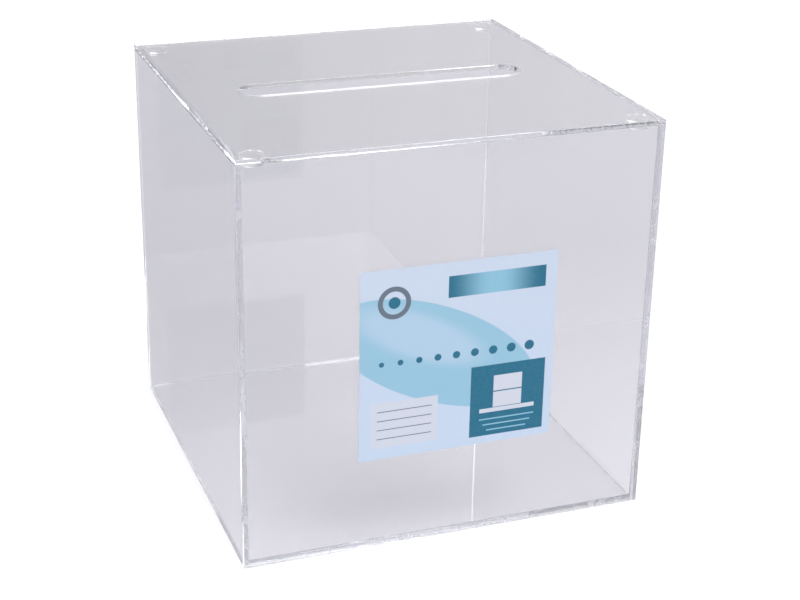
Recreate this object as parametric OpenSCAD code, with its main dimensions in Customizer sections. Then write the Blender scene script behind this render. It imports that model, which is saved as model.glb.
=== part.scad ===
// Clear ballot box of cemented acrylic sheet, with a loose lift-off lid.
// The origin is at the centre of the underside. +Z is up and the front faces -Y.

/* [Box] */
// Outside width of the box, along the front
body_w = 210; // [180:1:400]
// Outside depth of the box, front to back
body_d = 210; // [120:1:400]
// Height of the four walls, without the lid
wall_h = 203; // [160:1:400]
// Thickness of the wall sheets
wall_t = 3; // [2:0.5:6]
// Thickness of the bottom sheet
floor_t = 3; // [2:0.5:6]

/* [Lid] */
// Thickness of the lid sheet
lid_t = 2.5; // [2:0.5:6]
// Bevel that breaks the sawn edges of the lid
lid_bevel = 0.3; // [0.1:0.1:0.8]
// Length of the voting slot, end to end
slot_l = 150; // [60:1:150]
// Width of the voting slot, which is also the diameter of its round ends
slot_w = 20; // [6:0.5:30]

/* [Lid locating discs] */
// Diameter of each disc
disc_d = 11; // [8:0.5:16]
// Height of each disc below the lid
disc_h = 3; // [2:0.5:6]
// Radius of the rounded lower rim of each disc
disc_rim_r = 0.8; // [0.2:0.1:1.5]
// Sideways clearance between a disc and the inner face of each wall beside it
disc_gap = 1.5; // [0.4:0.1:3]

/* [Label] */
// Width of the paper label
label_w = 100; // [60:1:120]
// Height of the paper label
label_h = 98; // [50:1:110]
// Thickness of the paper label
label_t = 0.2; // [0.1:0.05:0.5]
// How far the label's centre lies to the right of the front's centre
label_shift = 2.5; // [-15:0.5:15]
// Height of the label's lower edge above the underside
label_rise = 48; // [10:1:50]

/* [Hidden] */
$fn = 96;

// Inside width and depth of the box: the bottom fills them, and the side walls run the inside depth
inner_w = body_w - 2 * wall_t;
inner_d = body_d - 2 * wall_t;
// Middle of a wall's thickness, measured from the box's centre
wall_x = (body_w - wall_t) / 2;
wall_y = (body_d - wall_t) / 2;
// Middle of a disc, measured from the box's centre
disc_x = (inner_w - disc_d) / 2 - disc_gap;
disc_y = (inner_d - disc_d) / 2 - disc_gap;
// How far a cut runs past the sheet that it goes through
cut_over = 1;

acrylic = [0.86, 0.88, 0.92, 0.35];
paper = [0.72, 0.84, 0.92];

// A sheet that stands on z = 0, centred on x and y
module sheet(w, d, h) {
    translate([-w / 2, -d / 2, 0]) cube([w, d, h]);
}

// A rectangle centred on the origin, with its corners cut at 45 degrees
module cut_rectangle(w, h, cut) {
    polygon([
        [cut - w / 2, -h / 2], [w / 2 - cut, -h / 2],
        [w / 2, cut - h / 2], [w / 2, h / 2 - cut],
        [w / 2 - cut, h / 2], [cut - w / 2, h / 2],
        [-w / 2, h / 2 - cut], [-w / 2, cut - h / 2]
    ]);
}

// A flat sheet that stands on z = 0, centred on x and y, with every edge bevelled
module bevelled_sheet(w, d, t, bevel) {
    translate([0, 0, t / 2]) intersection() {
        linear_extrude(t, center = true) cut_rectangle(w, d, bevel);
        rotate([90, 0, 0]) linear_extrude(d, center = true) cut_rectangle(w, t, bevel);
        rotate([90, 0, 90]) linear_extrude(w, center = true) cut_rectangle(d, t, bevel);
    }
}

// A slot with full round ends, running along x and standing on z = 0
module round_ended_slot(l, w, h) {
    straight = l - w;
    translate([-straight / 2, -w / 2, 0]) cube([straight, w, h]);
    for (side = [-1, 1]) translate([side * straight / 2, 0, 0]) cylinder(h = h, d = w);
}

// A disc that hangs below z = 0, with a rounded lower rim
module locating_disc() {
    rotate_extrude() difference() {
        translate([0, -disc_h]) square([disc_d / 2, disc_h]);
        translate([disc_d / 2 - disc_rim_r, -disc_h]) difference() {
            translate([0, -cut_over]) square([disc_rim_r + cut_over, disc_rim_r + cut_over]);
            translate([0, disc_rim_r]) circle(r = disc_rim_r);
        }
    }
}

// side is -1 for the left and 1 for the right; end is -1 for the front and 1 for the back
module lid_disc(side, end) {
    color(acrylic) translate([side * disc_x, end * disc_y, wall_h]) locating_disc();
}

module front_panel() {
    color(acrylic) translate([0, -wall_y, 0]) sheet(body_w, wall_t, wall_h);
}

module back_panel() {
    color(acrylic) translate([0, wall_y, 0]) sheet(body_w, wall_t, wall_h);
}

module left_panel() {
    color(acrylic) translate([-wall_x, 0, 0]) sheet(wall_t, inner_d, wall_h);
}

module right_panel() {
    color(acrylic) translate([wall_x, 0, 0]) sheet(wall_t, inner_d, wall_h);
}

module bottom_panel() {
    color(acrylic) sheet(inner_w, inner_d, floor_t);
}

// The lid lies loose on the walls, flush with them on all sides
module lid_panel() {
    color(acrylic) translate([0, 0, wall_h]) difference() {
        bevelled_sheet(body_w, body_d, lid_t, lid_bevel);
        translate([0, 0, -cut_over]) round_ended_slot(slot_l, slot_w, lid_t + 2 * cut_over);
    }
}

module lid_disc_front_left() {
    lid_disc(-1, -1);
}

module lid_disc_front_right() {
    lid_disc(1, -1);
}

module lid_disc_back_left() {
    lid_disc(-1, 1);
}

module lid_disc_back_right() {
    lid_disc(1, 1);
}

// Stuck flat on the outer face of the front panel
module front_label() {
    color(paper) translate([label_shift, -body_d / 2 - label_t / 2, label_rise])
        sheet(label_w, label_t, label_h);
}

front_panel();
back_panel();
left_panel();
right_panel();
bottom_panel();
lid_panel();
lid_disc_front_left();
lid_disc_front_right();
lid_disc_back_left();
lid_disc_back_right();
front_label();
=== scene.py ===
"""Looks of the clear ballot box: acrylic sheets, lid, locating discs, cement seams and paper label.

The frame is the construction's: origin under the middle of the box, +Z up, the front towards -Y.
Lengths are in millimetres and angles in degrees, unless a comment says otherwise.
"""

import math

import bmesh
import bpy
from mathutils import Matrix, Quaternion, Vector, noise

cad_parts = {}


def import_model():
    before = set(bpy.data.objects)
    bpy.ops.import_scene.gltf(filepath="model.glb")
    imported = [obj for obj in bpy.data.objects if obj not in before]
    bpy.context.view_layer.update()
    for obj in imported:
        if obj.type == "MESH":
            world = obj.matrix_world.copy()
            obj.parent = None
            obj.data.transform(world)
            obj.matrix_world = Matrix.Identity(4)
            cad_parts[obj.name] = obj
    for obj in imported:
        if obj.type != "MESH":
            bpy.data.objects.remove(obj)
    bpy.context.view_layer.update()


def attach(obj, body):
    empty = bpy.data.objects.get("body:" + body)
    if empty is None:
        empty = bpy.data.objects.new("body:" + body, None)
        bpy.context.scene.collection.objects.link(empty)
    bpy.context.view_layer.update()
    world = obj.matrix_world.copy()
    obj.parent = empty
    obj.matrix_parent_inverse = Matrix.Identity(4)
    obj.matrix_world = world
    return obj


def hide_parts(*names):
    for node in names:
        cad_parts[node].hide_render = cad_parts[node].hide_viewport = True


MM = 0.001

# Sizes, as in the construction source
BODY = 210.0
WALL_H = 203.0
WALL_T = 3.0
FLOOR_T = 3.0
LID_T = 2.5
SLOT_L = 150.0
SLOT_W = 20.0
DISC_D = 11.0
DISC_H = 3.0
DISC_AT = 95.0
DISC_RIM = 0.8
LABEL_LEFT = -47.5
LABEL_FOOT = 48.0
LABEL_W = 100.0
LABEL_H = 98.0
LABEL_T = 0.2

HALF = BODY / 2
INNER = HALF - WALL_T

# Air between two sheets that touch, which keeps their faces out of one plane
GAP = 0.04
SHEET_BEVEL = 0.15
LID_BEVEL = 0.3
SLOT_BEVEL = 0.25
DISC_TOP_BREAK = 0.2

# Air behind the label, how far it waves, and the length of one wave
LABEL_AIR = 0.03
LABEL_WAVE = 0.06
LABEL_WAVE_LENGTH = 17.0

# Steps of the round shapes and of the label's grid
SLOT_END_STEPS = 24
DISC_TURNS = 64
RIM_STEPS = 6
LABEL_COLUMNS = 50
LABEL_ROWS = 49

# Camera: direction, distance and aim fitted to the photograph's corners
IMAGE_W = 800
SENSOR_W = 36.0
CAM_AZ = -20.572
CAM_EL = 22.958
CAM_ROLL = 1.057
CAM_DIST = 902.6
CAM_AIM = (11.64, 0.0, 82.60)
FOCAL_PX = 1681.2

# Acrylic: tint and refraction of its faces, what they pass of scattered light, and its absorption
ACRYLIC_TINT = (0.995, 0.995, 0.998)
ACRYLIC_INDEX = 1.49
FACE_PASSES = (0.97, 0.97, 0.975)
ABSORPTION_TINT = (0.82, 0.86, 0.88)
SHEET_DENSITY = 2.0
DISC_DENSITY = 1.0
RIPPLE_STRENGTH = 0.004

# Joint cement: the clear film, and the voids in it
FILM = (0.97, 0.97, 0.975)
VOID = (0.62, 0.62, 0.65)

# The floor: what is seen of it straight, and its extent and depth below the box, in metres
FLOOR_WHITE = (0.95, 0.95, 0.95)
FLOOR_REACH = 6.0
FLOOR_DROP = 0.0003

# What the acrylic shows of the floor, with painted light and shade: lighter in front, the lighter tone
# reaching in under the box against its shadow, darker behind on the left, a little less dark behind on
# the right
FLOOR_FRONT_PAINTED_LIGHT = (0.72, 0.71, 0.745)
FLOOR_BACK_LEFT_PAINTED_SHADE = (0.500, 0.495, 0.527)
FLOOR_BACK_RIGHT_PAINTED_SHADE = (0.575, 0.570, 0.606)

# Where the floor's painted light turns to painted shade from front to back, and where the painted shade
# changes from left to right, in metres
FLOOR_DEEP = (-0.15, 0.28)
FLOOR_ACROSS = (-0.25, 0.45)

# Brightness of the studio round the box, from behind on the left (-1) to in front on the right (1)
STUDIO_WAY = (0.447, -0.894, 0.0)
STUDIO_TONES = ((-0.95, 0.30), (-0.80, 0.48), (-0.58, 0.66), (0.0, 0.75), (0.6, 0.85), (0.95, 1.0))
STUDIO_TINT = (1.0, 0.993, 1.035)

# The studio darkens upwards between these heights, given as sines, to this share
ZENITH = (0.45, 0.95)
ZENITH_SHARE = 0.5

# A broad lamp in front: direction, brightness, colour, and the angles at which it starts and is full
LAMP_WAY = (0.32, -0.88, 0.36)
LAMP_TONE = 2.6
LAMP_COLOUR = (1.0, 0.995, 0.98)
LAMP_STARTS = 26
LAMP_FULL = 14

# Suns: azimuth, elevation, strength and angle across
KEY_SUN = (35, 62, 1.5, 40)
FILL_SUN = (-60, 60, 0.4, 60)

# Label colours
PALE = (0.44, 0.53, 0.65)
AQUA = (0.20, 0.41, 0.53)
TEAL = (0.002, 0.11, 0.185)
NEAR_WHITE = (0.50, 0.53, 0.60)
INK_GREY = (0.10, 0.13, 0.17)
FIBRE = (0.30, 0.36, 0.42)

# Blocks on the label: left, foot, width and height, measured from its lower left corner
TEAL_BLOCK = (57, 4, 39, 38)
SLIP = (69, 19, 15, 17)
SLIP_FOLD = (69, 27.2, 15, 0.6)
MOTIF_SLOT = (62, 16.5, 29, 2.2)
TONE_BAR = (44, 80, 50, 11)
FORM = (6, 6, 34, 24)
PRINT_SOFT = 0.15


def new_object(name, data):
    """Puts a mesh, a lamp or a camera into the scene."""
    thing = bpy.data.objects.new(name, data)
    bpy.context.scene.collection.objects.link(thing)
    return thing


def mesh_from(bm, name):
    mesh = bpy.data.meshes.new(name)
    bm.normal_update()
    bm.to_mesh(mesh)
    bm.free()
    return mesh


def finish_piece(name, mesh, mat, body, slot, *nodes):
    """Dresses a mesh, rides it on its body and lets it stand for its CAD nodes."""
    piece = new_object(name, mesh)
    mesh.materials.append(mat)
    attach(piece, body)
    if nodes:
        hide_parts(*nodes)


def round_small_faces(mesh, flat_from, degrees):
    """Smooth shading between faces under an area in mm2 that meet at less than the angle."""
    bm = bmesh.new()
    bm.from_mesh(mesh)
    limit = math.radians(degrees)
    for face in bm.faces:
        face.smooth = face.calc_area() < flat_from * MM * MM
    for edge in bm.edges:
        if len(edge.link_faces) == 2:
            both = all(face.smooth for face in edge.link_faces)
            edge.smooth = both and edge.calc_face_angle(0) < limit
    bm.to_mesh(mesh)
    bm.free()


def sheet_mesh(name, low, high, bevel):
    """A sheet between two corners, with every edge broken by a small rounded bevel."""
    bm = bmesh.new()
    bmesh.ops.create_cube(bm, size=1.0)
    size = [(b - a) * MM for a, b in zip(low, high)]
    middle = [(a + b) / 2 * MM for a, b in zip(low, high)]
    for vert in bm.verts:
        vert.co = Vector([m + c * s for m, c, s in zip(middle, vert.co, size)])
    edges = list(bm.edges)
    bmesh.ops.bevel(bm, geom=edges, offset=bevel * MM, segments=2, profile=0.6, affect="EDGES")
    return mesh_from(bm, name)


class Nodes:
    """Short words for building the nodes of one material, or of the world."""

    def __init__(self, owner):
        owner.use_nodes = True
        self.owner = owner
        self.tree = owner.node_tree
        self.tree.nodes.clear()

    def add(self, kind, **settings):
        node = self.tree.nodes.new(kind)
        for key, value in settings.items():
            setattr(node, key, value)
        return node

    def plug(self, source, target):
        """Sets a socket from another socket, a number, or a colour of three parts."""
        if isinstance(source, bpy.types.NodeSocket):
            self.tree.links.new(source, target)
        elif target.type == "RGBA":
            target.default_value = (*source, 1)
        else:
            target.default_value = source

    def shader(self, kind, colour):
        """A plain shader whose only setting is its colour."""
        node = self.add(kind)
        self.plug(colour, node.inputs["Color"])
        return node.outputs[0]

    def mix_shader(self, factor, a, b):
        node = self.add("ShaderNodeMixShader")
        self.plug(factor, node.inputs["Fac"])
        self.plug(a, node.inputs[1])
        self.plug(b, node.inputs[2])
        return node.outputs[0]

    def mix_colour(self, factor, a, b):
        node = self.add("ShaderNodeMix", data_type="RGBA")
        self.plug(factor, node.inputs["Factor"])
        self.plug(a, node.inputs["A"])
        self.plug(b, node.inputs["B"])
        return node.outputs["Result"]

    def maths(self, operation, a, b=0.0):
        node = self.add("ShaderNodeMath", operation=operation)
        self.plug(a, node.inputs[0])
        self.plug(b, node.inputs[1])
        return node.outputs[0]

    def ramp(self, value, start, end, low=0.0, high=1.0):
        """Goes smoothly from low to high while the value goes from start to end."""
        node = self.add("ShaderNodeMapRange", interpolation_type="SMOOTHSTEP")
        self.plug(value, node.inputs["Value"])
        self.plug(start, node.inputs["From Min"])
        self.plug(end, node.inputs["From Max"])
        self.plug(low, node.inputs["To Min"])
        self.plug(high, node.inputs["To Max"])
        return node.outputs[0]

    def noise(self, scale, detail):
        """Noise over the piece, in cycles to the metre."""
        coords = self.add("ShaderNodeTexCoord")
        texture = self.add("ShaderNodeTexNoise")
        self.plug(scale, texture.inputs["Scale"])
        self.plug(detail, texture.inputs["Detail"])
        self.plug(coords.outputs["Object"], texture.inputs["Vector"])
        return texture.outputs["Fac"]

    def position(self):
        coords = self.add("ShaderNodeTexCoord")
        split = self.add("ShaderNodeSeparateXYZ")
        self.plug(coords.outputs["Object"], split.inputs[0])
        return split.outputs

    def bump(self, height, strength, metres, normal=None):
        node = self.add("ShaderNodeBump")
        self.plug(strength, node.inputs["Strength"])
        self.plug(metres, node.inputs["Distance"])
        self.plug(height, node.inputs["Height"])
        if normal is not None:
            self.plug(normal, node.inputs["Normal"])
        return node.outputs[0]

    def output(self, surface, volume=None):
        """Ends the material, and returns it."""
        node = self.add("ShaderNodeOutputMaterial")
        self.plug(surface, node.inputs["Surface"])
        if volume is not None:
            self.plug(volume, node.inputs["Volume"])
        return self.owner


def material_nodes(name):
    return Nodes(bpy.data.materials.new(name))


def lets_light_through(nodes, shader):
    """Rays that carry lamp light or scattered light pass straight on, so what stands behind is lit."""
    path = nodes.add("ShaderNodeLightPath")
    either = nodes.maths("MAXIMUM", path.outputs["Is Shadow Ray"], path.outputs["Is Diffuse Ray"])
    clear = nodes.shader("ShaderNodeBsdfTransparent", FACE_PASSES)
    return nodes.mix_shader(either, shader, clear)


def acrylic(name, ripple_scale, density):
    """Clear cast acrylic: faintly rippled faces, and a little grey over a long way through the sheet."""
    nodes = material_nodes(name)
    glass = nodes.add("ShaderNodeBsdfPrincipled")
    nodes.plug(ACRYLIC_TINT, glass.inputs["Base Color"])
    nodes.plug(ACRYLIC_INDEX, glass.inputs["IOR"])
    nodes.plug(1.0, glass.inputs["Transmission Weight"])
    nodes.plug(0.0, glass.inputs["Roughness"])
    ripple = nodes.bump(nodes.noise(ripple_scale, detail=1.0), RIPPLE_STRENGTH, 0.001)
    nodes.plug(ripple, glass.inputs["Normal"])
    surface = lets_light_through(nodes, glass.outputs[0])
    absorption = nodes.add("ShaderNodeVolumeAbsorption")
    nodes.plug(ABSORPTION_TINT, absorption.inputs["Color"])
    nodes.plug(density, absorption.inputs["Density"])
    return nodes.output(surface, absorption.outputs[0])


def cement(name):
    """Solvent cement in a joint: a clear film with small grey voids where it didn't run."""
    nodes = material_nodes(name)
    film = nodes.shader("ShaderNodeBsdfTransparent", FILM)
    void = nodes.add("ShaderNodeBsdfPrincipled")
    nodes.plug(VOID, void.inputs["Base Color"])
    nodes.plug(0.35, void.inputs["Roughness"])
    spots = nodes.noise(scale=160, detail=3.0)
    void_share = nodes.ramp(spots, start=0.56, end=0.66, low=0.03, high=0.45)
    return nodes.output(nodes.mix_shader(void_share, film, void.outputs[0]))


def block_mask(nodes, x, y, block):
    """1 inside a block of the label, 0 outside."""
    left, foot, width, height = block
    sides = (
        nodes.ramp(x, left - PRINT_SOFT, left + PRINT_SOFT),
        nodes.ramp(x, left + width - PRINT_SOFT, left + width + PRINT_SOFT, 1.0, 0.0),
        nodes.ramp(y, foot - PRINT_SOFT, foot + PRINT_SOFT),
        nodes.ramp(y, foot + height - PRINT_SOFT, foot + height + PRINT_SOFT, 1.0, 0.0),
    )
    mask = sides[0]
    for side in sides[1:]:
        mask = nodes.maths("MULTIPLY", mask, side)
    return mask


def distance_from(nodes, x, y, centre, stretch=(1.0, 1.0), turn=0.0):
    """Distance from a point on the label, in turned axes, as a share of the stretch along each."""
    dx = nodes.maths("SUBTRACT", x, centre[0])
    dy = nodes.maths("SUBTRACT", y, centre[1])
    c, s = math.cos(math.radians(turn)), math.sin(math.radians(turn))
    along = nodes.maths("ADD", nodes.maths("MULTIPLY", dx, c), nodes.maths("MULTIPLY", dy, s))
    across = nodes.maths("SUBTRACT", nodes.maths("MULTIPLY", dy, c), nodes.maths("MULTIPLY", dx, s))
    along = nodes.maths("DIVIDE", along, stretch[0])
    across = nodes.maths("DIVIDE", across, stretch[1])
    along_squared = nodes.maths("MULTIPLY", along, along)
    across_squared = nodes.maths("MULTIPLY", across, across)
    return nodes.maths("SQRT", nodes.maths("ADD", along_squared, across_squared))


def label_print(nodes):
    """The label's printed colours: plain shapes, bars and rings, with no lettering."""
    place = nodes.position()
    x = nodes.maths("SUBTRACT", nodes.maths("MULTIPLY", place["X"], 1 / MM), LABEL_LEFT)
    y = nodes.maths("SUBTRACT", nodes.maths("MULTIPLY", place["Z"], 1 / MM), LABEL_FOOT)
    colour = nodes.mix_colour(nodes.ramp(y, 0, LABEL_H, 0.0, 0.35), PALE, NEAR_WHITE)
    colour = aqua_oval(nodes, x, y, colour)
    colour = nodes.mix_colour(block_mask(nodes, x, y, TEAL_BLOCK), colour, TEAL)
    colour = ballot_motif(nodes, x, y, colour)
    colour = gradient_bar(nodes, x, y, colour)
    colour = form_panel(nodes, x, y, colour)
    colour = dot_row(nodes, x, y, colour)
    return ring_and_hub(nodes, x, y, colour)


def aqua_oval(nodes, x, y, colour):
    """A leaning oval with a clear rim, and a paler oval that fades inside it."""
    lean = -24.0
    oval_centre, oval_reach = (38.0, 52.0), (56.0, 24.0)
    inner_centre, inner_reach = (30.0, 62.0), (44.0, 14.0)
    oval = distance_from(nodes, x, y, oval_centre, oval_reach, lean)
    colour = nodes.mix_colour(nodes.ramp(oval, 0.985, 1.015, 0.85, 0.0), colour, AQUA)
    inner = distance_from(nodes, x, y, inner_centre, inner_reach, lean)
    return nodes.mix_colour(nodes.ramp(inner, 0.55, 1.0, 0.5, 0.0), colour, PALE)


def ballot_motif(nodes, x, y, colour):
    """A folded slip over a slot, near white on the dark block, with three rules below."""
    colour = nodes.mix_colour(block_mask(nodes, x, y, SLIP), colour, NEAR_WHITE)
    colour = nodes.mix_colour(block_mask(nodes, x, y, SLIP_FOLD), colour, TEAL)
    colour = nodes.mix_colour(block_mask(nodes, x, y, MOTIF_SLOT), colour, NEAR_WHITE)
    left, _, width, _ = MOTIF_SLOT
    top_rule, drop, inset, thickness = 12.5, 3.0, 2, 0.7
    for step in range(3):
        rule = (left + inset * step, top_rule - drop * step, width - 2 * inset * step, thickness)
        colour = nodes.mix_colour(block_mask(nodes, x, y, rule), colour, AQUA)
    return colour


def gradient_bar(nodes, x, y, colour):
    """A bar that runs from teal through aqua and back."""
    brightest = 68.0
    away = nodes.maths("ABSOLUTE", nodes.maths("SUBTRACT", x, brightest))
    tone = nodes.mix_colour(nodes.ramp(away, 2.0, 24.0), AQUA, TEAL)
    return nodes.mix_colour(block_mask(nodes, x, y, TONE_BAR), colour, tone)


def form_panel(nodes, x, y, colour):
    """A near-white field with four plain rules."""
    colour = nodes.mix_colour(block_mask(nodes, x, y, FORM), colour, NEAR_WHITE)
    left, width, thickness = 9, 28, 0.45
    first_rule, spacing = 10.5, 4.8
    for row in range(4):
        rule = (left, first_rule + spacing * row, width, thickness)
        colour = nodes.mix_colour(block_mask(nodes, x, y, rule), colour, INK_GREY)
    return colour


def dot_row(nodes, x, y, colour):
    """Nine dots across the middle, each a little larger than the last."""
    first, spacing, height = 11.0, 9.5, 50.0
    smallest, growth = 1.3, 0.15
    for count in range(9):
        dot = distance_from(nodes, x, y, (first + spacing * count, height))
        size = smallest + growth * count
        inside = nodes.ramp(dot, size - PRINT_SOFT, size + PRINT_SOFT, 1.0, 0.0)
        colour = nodes.mix_colour(inside, colour, TEAL)
    return colour


def ring_and_hub(nodes, x, y, colour):
    """A plain ring with a round hub, at the top left."""
    centre = (17.0, 81.0)
    ring_radius = 7.0
    away = distance_from(nodes, x, y, centre)
    from_ring = nodes.maths("ABSOLUTE", nodes.maths("SUBTRACT", away, ring_radius))
    colour = nodes.mix_colour(nodes.ramp(from_ring, 1.1, 1.4, 1.0, 0.0), colour, INK_GREY)
    return nodes.mix_colour(nodes.ramp(away, 2.8, 3.1, 1.0, 0.0), colour, TEAL)


def label_paper(name):
    """Coated paper: print, a faint fibre in colour and relief, and a soft sheen."""
    nodes = material_nodes(name)
    paper = nodes.add("ShaderNodeBsdfPrincipled")
    fibre = nodes.noise(scale=900, detail=3.0)
    fibre_share = nodes.ramp(fibre, 0.2, 0.8, 0.0, 0.07)
    colour = nodes.mix_colour(fibre_share, label_print(nodes), FIBRE)
    nodes.plug(colour, paper.inputs["Base Color"])
    sheen = nodes.ramp(nodes.noise(scale=260, detail=2.0), 0.3, 0.7, 0.30, 0.42)
    nodes.plug(sheen, paper.inputs["Roughness"])
    nodes.plug(0.35, paper.inputs["Specular IOR Level"])
    coarse = nodes.bump(nodes.noise(scale=45, detail=2.0), 0.25, 0.0003)
    nodes.plug(nodes.bump(fibre, 0.08, 0.0001, coarse), paper.inputs["Normal"])
    return nodes.output(paper.outputs[0])


def floor_material(name):
    """A pale board. Seen straight it is white; the acrylic shows it light grey, with painted light in
    front and painted shade behind, darkest on the left.
    """
    nodes = material_nodes(name)
    direct = nodes.shader("ShaderNodeBsdfDiffuse", FLOOR_WHITE)
    place = nodes.position()
    # Painted shade behind the box, darker on the left, and painted light in front of it
    painted_shade_behind = nodes.mix_colour(nodes.ramp(place["X"], *FLOOR_ACROSS), FLOOR_BACK_LEFT_PAINTED_SHADE, FLOOR_BACK_RIGHT_PAINTED_SHADE)
    tone = nodes.mix_colour(nodes.ramp(place["Y"], *FLOOR_DEEP), FLOOR_FRONT_PAINTED_LIGHT, painted_shade_behind)
    through = nodes.shader("ShaderNodeBsdfDiffuse", tone)
    path = nodes.add("ShaderNodeLightPath")
    return nodes.output(nodes.mix_shader(path.outputs["Is Camera Ray"], through, direct))


def walls(mat):
    """Front and back cover the ends of the sides, and the bottom lies between the four."""
    top = WALL_H - GAP
    side = INNER - GAP
    sheets = (
        ("front", (-HALF, -HALF, 0), (HALF, -INNER, top)),
        ("back", (-HALF, INNER, 0), (HALF, HALF, top)),
        ("left", (-HALF, -side, 0), (-INNER, side, top)),
        ("right", (INNER, -side, 0), (HALF, side, top)),
        ("bottom", (-side, -side, 0), (side, side, FLOOR_T)),
    )
    for word, low, high in sheets:
        mesh = sheet_mesh(word + "_sheet", low, high, SHEET_BEVEL)
        finish_piece(word + "_sheet", mesh, mat, "box", "clear_sheet", word + "_panel")


def film_span(sign):
    """The two faces of a cement film, which lies in the air just inside a wall."""
    air = GAP / 4
    film = GAP / 2
    return sorted((sign * (INNER - air), sign * (INNER - air - film)))


def seam(name, xs, ys, zs, mat):
    """A film of cement between two corners."""
    low, high = zip(xs, ys, zs)
    mesh = sheet_mesh(name, low, high, GAP / 8)
    finish_piece(name, mesh, mat, "box", "clear_sheet")


def seams(mat):
    """A film of cement in each joint, a little narrower than the sheet that it joins."""
    inset = SHEET_BEVEL
    upright = (inset, WALL_H - 2 * inset)
    for x_word, x in (("left", -1), ("right", 1)):
        for y_word, y in (("front", -1), ("back", 1)):
            xs = sorted((x * (HALF - inset), x * (INNER + inset)))
            seam("seam_" + y_word + "_" + x_word, xs, film_span(y), upright, mat)
    length = (1 - INNER, INNER - 1)
    height = (inset, FLOOR_T - inset)
    for word, sign in (("left", -1), ("right", 1)):
        seam("seam_bottom_" + word, film_span(sign), length, height, mat)
    for word, sign in (("front", -1), ("back", 1)):
        seam("seam_bottom_" + word, length, film_span(sign), height, mat)


def slot_outline(half_l, half_w, steps):
    """Points round a slot with round ends, counter-clockwise."""
    points = []
    straight = half_l - half_w
    for end in (1, -1):
        for i in range(steps + 1):
            a = math.pi * (i / steps - 0.5 * end)
            points.append((end * straight + half_w * math.cos(a), half_w * math.sin(a)))
    return points


def loop_of(bm, points, z):
    return [bm.verts.new((x * MM, y * MM, z * MM)) for x, y in points]


def bridge(bm, a, b):
    """Faces between two loops. A loop of one point closes the other to a fan."""
    count = max(len(a), len(b))
    for i in range(count):
        j = (i + 1) % count
        if len(a) == 1:
            bm.faces.new((a[0], b[j], b[i]))
        elif len(b) == 1:
            bm.faces.new((a[i], a[j], b[0]))
        else:
            bm.faces.new((a[i], a[j], b[j], b[i]))


def loop_edges(bm, loop):
    return [bm.edges.get((a, b)) for a, b in zip(loop, loop[1:] + loop[:1])]


def lid(mat):
    """The lid sheet with its voting slot. Both rims have a small bevel."""
    low, high = WALL_H, WALL_H + LID_T
    bm = bmesh.new()
    outer, inner = [], []
    for z, away in ((low, 1), (low + LID_BEVEL, 0), (high - LID_BEVEL, 0), (high, 1)):
        half = HALF - away * LID_BEVEL
        corners = [(-half, -half), (half, -half), (half, half), (-half, half)]
        outer.append(loop_of(bm, corners, z))
        grow = away * SLOT_BEVEL
        slot = slot_outline(SLOT_L / 2 + grow, SLOT_W / 2 + grow, SLOT_END_STEPS)
        inner.append(loop_of(bm, slot, z))
    for a, b in zip(outer, outer[1:]):
        bridge(bm, a, b)
    for a, b in zip(inner, inner[1:]):
        bridge(bm, b, a)
    for face in (0, -1):
        edges = loop_edges(bm, outer[face]) + loop_edges(bm, inner[face])
        bmesh.ops.triangle_fill(bm, edges=edges, use_beauty=True)
    bmesh.ops.recalc_face_normals(bm, faces=list(bm.faces))
    mesh = mesh_from(bm, "lid_sheet")
    round_small_faces(mesh, flat_from=40, degrees=30)
    finish_piece("lid_sheet", mesh, mat, "lid", "clear_lid_sheet", "lid_panel")


def disc_profile():
    """Radius and height of a disc's outline, from the middle of its foot to the middle of its top."""
    radius = DISC_D / 2
    rim_middle = radius - DISC_RIM
    profile = [(0.0, -DISC_H), (rim_middle, -DISC_H)]
    for i in range(1, RIM_STEPS + 1):
        a = math.pi / 2 * (i / RIM_STEPS - 1)
        out = rim_middle + DISC_RIM * math.cos(a)
        profile.append((out, -DISC_H + DISC_RIM * (1 + math.sin(a))))
    profile.append((radius, -GAP - DISC_TOP_BREAK))
    profile.append((radius - DISC_TOP_BREAK, -GAP))
    profile.append((0.0, -GAP))
    return profile


def disc(mat, side, end):
    """A turned disc under one corner of the lid, with a rounded lower rim."""
    word = ("front" if end < 0 else "back") + "_" + ("left" if side < 0 else "right")
    bm = bmesh.new()
    rings = []
    for radius, z in disc_profile():
        ring = []
        for i in range(DISC_TURNS if radius > 0 else 1):
            a = 2 * math.pi * i / DISC_TURNS
            ring.append((side * DISC_AT + radius * math.cos(a), end * DISC_AT + radius * math.sin(a)))
        rings.append(loop_of(bm, ring, WALL_H + z))
    for a, b in zip(rings, rings[1:]):
        bridge(bm, a, b)
    bmesh.ops.recalc_face_normals(bm, faces=list(bm.faces))
    mesh = mesh_from(bm, "disc_" + word)
    round_small_faces(mesh, flat_from=1.3, degrees=40)
    finish_piece("disc_" + word, mesh, mat, "lid", "clear_disc", "lid_disc_" + word)


def paper_face(bm, depth, rise):
    """A grid of points over the label, at a depth, with waves that rise towards the front panel."""
    grid = []
    for row in range(LABEL_ROWS + 1):
        z = LABEL_FOOT + LABEL_H * row / LABEL_ROWS
        line = []
        for column in range(LABEL_COLUMNS + 1):
            x = LABEL_LEFT + LABEL_W * column / LABEL_COLUMNS
            place = Vector((x / LABEL_WAVE_LENGTH, 3.0, z / LABEL_WAVE_LENGTH))
            wave = 0.5 + 0.5 * noise.noise(place)
            line.append(bm.verts.new((x * MM, (depth + rise * wave) * MM, z * MM)))
        grid.append(line)
    for lower, upper in zip(grid, grid[1:]):
        for i in range(LABEL_COLUMNS):
            bm.faces.new((lower[i], lower[i + 1], upper[i + 1], upper[i]))
    return grid


def border_of(grid):
    """The points round a grid, counter-clockwise from the first."""
    right = [line[-1] for line in grid[1:-1]]
    left = [line[0] for line in grid[-2:0:-1]]
    return grid[0] + right + grid[-1][::-1] + left


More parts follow.
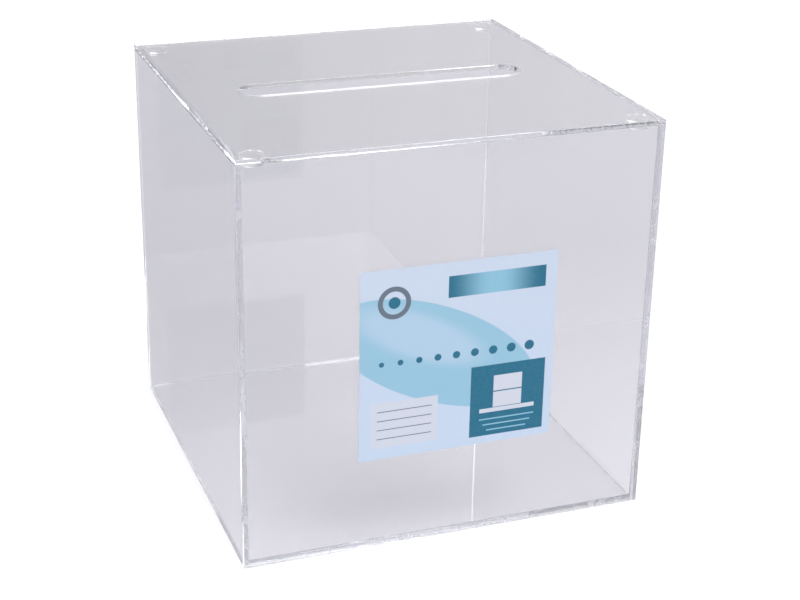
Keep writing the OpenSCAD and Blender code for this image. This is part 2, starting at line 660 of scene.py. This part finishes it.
def label(mat):
    """The paper label: a thin sheet that lies a little unevenly on the front."""
    bm = bmesh.new()
    back = paper_face(bm, -HALF - LABEL_AIR, 0.0)
    front = paper_face(bm, -HALF - LABEL_T, LABEL_WAVE)
    bridge(bm, border_of(back), border_of(front))
    bmesh.ops.recalc_face_normals(bm, faces=list(bm.faces))
    mesh = mesh_from(bm, "paper_label")
    round_small_faces(mesh, flat_from=40, degrees=30)
    finish_piece("paper_label", mesh, mat, "box", "label_paper", "front_label")


def floor():
    bm = bmesh.new()
    bmesh.ops.create_grid(bm, x_segments=1, y_segments=1, size=FLOOR_REACH)
    piece = new_object("studio_floor", mesh_from(bm, "studio_floor"))
    piece.location = (0, 0, -FLOOR_DROP)
    piece.data.materials.append(floor_material("pale_floor"))


def towards(nodes, way):
    """How far a ray of the world points a given way, from -1 to 1."""
    coords = nodes.add("ShaderNodeTexCoord")
    node = nodes.add("ShaderNodeVectorMath", operation="DOT_PRODUCT")
    nodes.plug(coords.outputs["Generated"], node.inputs[0])
    nodes.plug(Vector(way).normalized(), node.inputs[1])
    return node.outputs["Value"]


def studio_colours(nodes):
    """The studio's tones, from behind on the left to in front on the right."""
    node = nodes.add("ShaderNodeValToRGB")
    stops = node.color_ramp.elements
    while len(stops) < len(STUDIO_TONES):
        stops.new(0.5)
    for stop, (at, tone) in zip(stops, STUDIO_TONES):
        stop.position = (at + 1) / 2
        stop.color = (*(tone * tint for tint in STUDIO_TINT), 1)
    place = nodes.add("ShaderNodeMapRange")
    nodes.plug(-1.0, place.inputs["From Min"])
    nodes.plug(towards(nodes, STUDIO_WAY), place.inputs["Value"])
    nodes.plug(place.outputs[0], node.inputs[0])
    return node.outputs[0]


def background(nodes, colour, strength):
    node = nodes.add("ShaderNodeBackground")
    nodes.plug(colour, node.inputs["Color"])
    nodes.plug(strength, node.inputs["Strength"])
    return node.outputs[0]


def world():
    """Soft studio light: darker behind on the left, with a lamp in front. Seen straight it is white."""
    bpy.context.scene.world = bpy.data.worlds.new("studio")
    nodes = Nodes(bpy.context.scene.world)
    height = towards(nodes, (0, 0, 1))
    dome = background(nodes, studio_colours(nodes), nodes.ramp(height, *ZENITH, 1.0, ZENITH_SHARE))
    starts = math.cos(math.radians(LAMP_STARTS))
    full = math.cos(math.radians(LAMP_FULL))
    reach = nodes.ramp(towards(nodes, LAMP_WAY), starts, full, 0.0, LAMP_TONE)
    lamp = background(nodes, LAMP_COLOUR, reach)
    both = nodes.add("ShaderNodeAddShader")
    nodes.plug(dome, both.inputs[0])
    nodes.plug(lamp, both.inputs[1])
    plain = background(nodes, (1, 1, 1), 1.0)
    path = nodes.add("ShaderNodeLightPath")
    seen = nodes.mix_shader(path.outputs["Is Camera Ray"], both.outputs[0], plain)
    out = nodes.add("ShaderNodeOutputWorld")
    nodes.plug(seen, out.inputs[0])


def way_to(azimuth, elevation):
    """The direction of something seen from the box at that azimuth and elevation."""
    a, e = math.radians(azimuth), math.radians(elevation)
    return Vector((math.sin(a) * math.cos(e), -math.cos(a) * math.cos(e), math.sin(e)))


def sun(name, azimuth, elevation, strength, angle):
    data = bpy.data.lights.new(name, "SUN")
    data.energy = strength
    data.angle = math.radians(angle)
    lamp = new_object(name, data)
    lamp.rotation_mode = "QUATERNION"
    lamp.rotation_quaternion = way_to(azimuth, elevation).to_track_quat("Z", "Y")


def camera():
    """A plain camera without shift, at the photograph's viewing angle."""
    data = bpy.data.cameras.new("camera")
    data.sensor_width = SENSOR_W
    data.lens = FOCAL_PX / IMAGE_W * SENSOR_W
    data.clip_start = 0.01
    data.clip_end = 50
    cam = new_object("camera", data)
    way = way_to(CAM_AZ, CAM_EL)
    cam.location = (Vector(CAM_AIM) + way * CAM_DIST) * MM
    cam.rotation_mode = "QUATERNION"
    level = (-way).to_track_quat("-Z", "Y")
    cam.rotation_quaternion = Quaternion(way, math.radians(CAM_ROLL)) @ level
    bpy.context.scene.camera = cam


def render_look():
    """Plain display colours, and enough bounces for light that runs inside a sheet from edge to edge."""
    scene = bpy.context.scene
    scene.view_settings.view_transform = "Standard"
    scene.view_settings.look = "None"
    cycles = scene.cycles
    cycles.max_bounces = 128
    cycles.glossy_bounces = 128
    cycles.transmission_bounces = 64
    cycles.transparent_max_bounces = 48
    cycles.diffuse_bounces = 3
    cycles.caustics_reflective = False
    cycles.caustics_refractive = False


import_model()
camera()
render_look()
floor()
world()
sun("key", *KEY_SUN)
sun("fill", *FILL_SUN)
walls(acrylic("wall_acrylic", ripple_scale=14.0, density=SHEET_DENSITY))
seams(cement("joint_cement"))
lid(acrylic("lid_acrylic", ripple_scale=11.0, density=SHEET_DENSITY))
disc_material = acrylic("disc_acrylic", ripple_scale=60.0, density=DISC_DENSITY)
for side in (-1, 1):
    for end in (-1, 1):
        disc(disc_material, side, end)
label(label_paper("coated_paper"))
